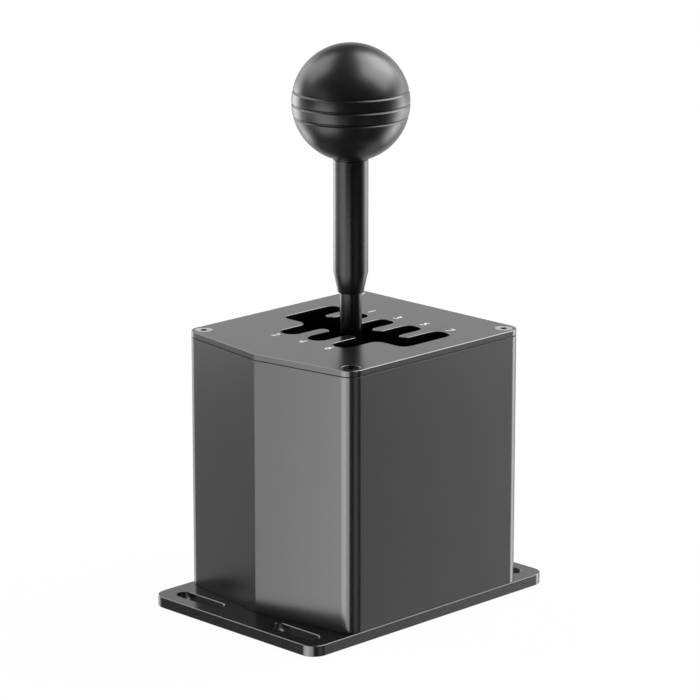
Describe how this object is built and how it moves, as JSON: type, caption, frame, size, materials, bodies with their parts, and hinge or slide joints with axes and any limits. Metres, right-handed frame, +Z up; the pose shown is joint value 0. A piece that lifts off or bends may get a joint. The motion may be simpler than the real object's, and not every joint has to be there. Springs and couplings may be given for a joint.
{
  "type": "sim racing gear shifter",
  "caption": "H-pattern gear shifter for a driving simulator: ball knob on a lever that leans in two directions through a numbered gate in a boxy dark metal housing on a slotted base plate.",
  "frame": {"origin": "middle of the base plate on its underside, on the axis of the upright lever", "axes": "+Z up along the lever at rest, +Y away from the driver, +X to the driver's right"},
  "size_m": [0.102, 0.1464, 0.2477],
  "materials": {
    "dark_anodised": "dark grey satin anodised, fine bead blast",
    "screw_black": "black oxide, slight sheen",
    "screw_steel": "bright turned heads, blackened sockets",
    "rod_black": "black, satin",
    "sleeve_black": "black satin anodised",
    "knob_black": "matt black, very fine texture",
    "machined_aluminium": "machined, bare",
    "steel": "ground",
    "spring_steel": "drawn wire",
    "bronze": "sintered bronze",
    "board_green": "solder resist",
    "chip_black": "moulded, matt",
    "nickel": "nickel plated"
  },
  "bodies": {
    "base": {"base_plate": "dark_anodised", "housing": "dark_anodised", "gate_plate": "dark_anodised", "gate_screws": "screw_steel", "housing_screws": "screw_black", "front_bearing_block": "machined_aluminium", "rear_bearing_block": "machined_aluminium", "block_screws": "screw_black", "front_select_bush": "bronze", "rear_select_bush": "bronze", "detent_saddle": "steel", "saddle_screws": "screw_black", "left_spring_seat": "machined_aluminium", "right_spring_seat": "machined_aluminium", "left_centring_spring": "spring_steel", "right_centring_spring": "spring_steel", "main_board": "board_green", "board_standoffs": "nickel", "board_screws": "screw_black", "select_sensor": "chip_black", "data_socket": "nickel"},
    "cradle": {"select_cradle": "machined_aluminium", "front_select_pin": "steel", "rear_select_pin": "steel", "left_shift_bush": "bronze", "right_shift_bush": "bronze", "select_magnet": "nickel", "shift_board": "board_green", "shift_sensor": "chip_black", "shift_board_screws": "screw_black"},
    "lever": {"lever_hub": "machined_aluminium", "shift_axle": "steel", "shift_magnet": "nickel", "lever_rod": "rod_black", "rod_set_screw": "screw_black", "lever_sleeve": "sleeve_black", "knob_insert": "bronze", "knob": "knob_black", "plunger_spring": "spring_steel"},
    "plunger": {"detent_plunger": "steel"}
  },
  "joints": [
    {"name": "select_tilt", "type": "hinge", "parent": "base", "child": "cradle", "pos_m": [0, 0, 0.0305], "axis": [0, 1, 0], "range_deg": [-10.2, 10.2], "stiffness_Nm_per_rad": 2.5, "deforming": ["left_centring_spring", "right_centring_spring"]},
    {"name": "shift_throw", "type": "hinge", "parent": "cradle", "child": "lever", "pos_m": [0, 0, 0.0305], "axis": [-1, 0, 0], "range_deg": [-12, 12]},
    {"name": "detent_slide", "type": "slide", "parent": "lever", "child": "plunger", "axis": [0, 0, -1], "range_m": [-0.0008, 0.0005], "stiffness_N_per_m": 800, "deforming": ["plunger_spring"]}
  ]
}
